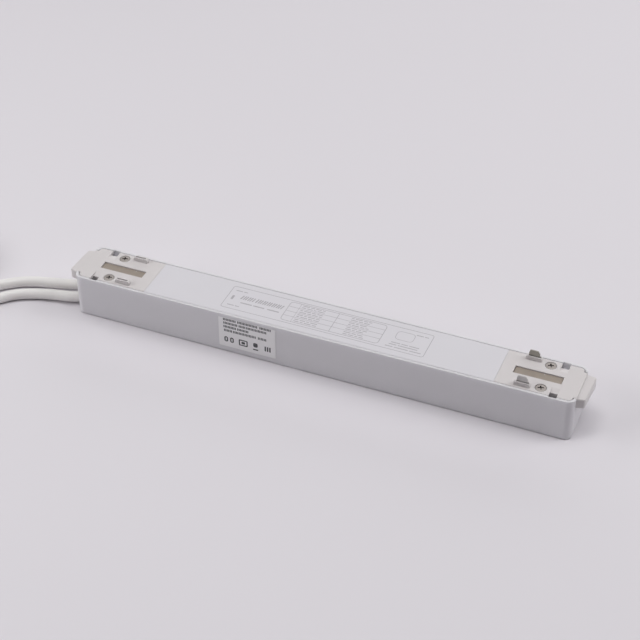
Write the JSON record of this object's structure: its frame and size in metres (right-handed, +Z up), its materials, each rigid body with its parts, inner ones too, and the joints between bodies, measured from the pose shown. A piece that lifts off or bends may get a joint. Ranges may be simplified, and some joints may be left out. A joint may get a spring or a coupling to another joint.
{
  "type": "lighting transformer",
  "caption": "Slim white lighting transformer for a lighting track, lying covers up, with magnet strips, contact tabs and two short cables.",
  "frame": {"origin": "middle of the underside of the housing, on the surface that it lies on", "axes": "+X along the housing towards the end with the contact tabs, the cables leave the end at -X, +Z up out of the cover plates"},
  "size_m": [0.4761, 0.0774, 0.0345],
  "materials": {
    "housing_white": "satin, moulded white",
    "cover_white": "satin, moulded white",
    "plate_white": "satin, moulded warm white",
    "magnet_grey": "satin grey-beige coat",
    "screw_steel": "dull zinc plate",
    "contact_metal": "dull plate",
    "label_white": "matt film",
    "clamp_white": "moulded",
    "cable_jacket": "satin white sheath",
    "tie_nylon": "natural nylon",
    "wire_brown": "wire insulation",
    "wire_red": "wire insulation",
    "liner_film": "folded film",
    "board_green": "solder mask",
    "terminal_green": "moulded",
    "fuse_brown": "moulded",
    "varistor_blue": "dipped coat",
    "ferrite": "pressed ferrite",
    "winding_copper": "enamelled copper",
    "film_yellow": "film and tape",
    "black_moulding": "moulded",
    "capacitor_sleeve": "shrunk sleeve",
    "spreader_aluminium": "mill finish",
    "pad_rubber": "soft gap filler"
  },
  "bodies": {
    "root": {"housing": "housing_white", "top_cover": "cover_white", "left_end_plate": "plate_white", "right_end_plate": "plate_white", "left_magnet": "magnet_grey", "right_magnet": "magnet_grey", "plate_screws": "screw_steel", "front_contact": "contact_metal", "rear_contact": "contact_metal", "contact_leads": "wire_red", "side_label": "label_white", "cable_clamp": "clamp_white", "clamp_screws": "screw_steel", "mains_cable_inner": "cable_jacket", "output_cable_inner": "cable_jacket", "mains_wires": "wire_brown", "output_wires": "wire_red", "mains_cable": "cable_jacket", "output_cable": "cable_jacket", "mains_coil": "cable_jacket", "output_coil": "cable_jacket", "mains_end_wires": "wire_brown", "output_end_wires": "wire_red", "cable_ties": "tie_nylon", "insulating_liner": "liner_film", "circuit_board": "board_green", "board_screws": "screw_steel", "mains_terminal": "terminal_green", "output_terminal": "terminal_green", "fuse": "fuse_brown", "varistor": "varistor_blue", "choke_core": "ferrite", "choke_windings": "winding_copper", "film_capacitor": "film_yellow", "bridge_rectifier": "black_moulding", "boost_core": "ferrite", "boost_bobbin": "black_moulding", "boost_winding": "winding_copper", "storage_capacitor": "capacitor_sleeve", "heat_spreader": "spreader_aluminium", "thermal_pad": "pad_rubber", "power_switches": "black_moulding", "transformer_core": "ferrite", "transformer_bobbin": "black_moulding", "transformer_winding": "film_yellow", "output_capacitors": "capacitor_sleeve", "output_inductor": "ferrite", "inductor_winding": "winding_copper", "control_board": "board_green"}
  },
  "joints": []
}
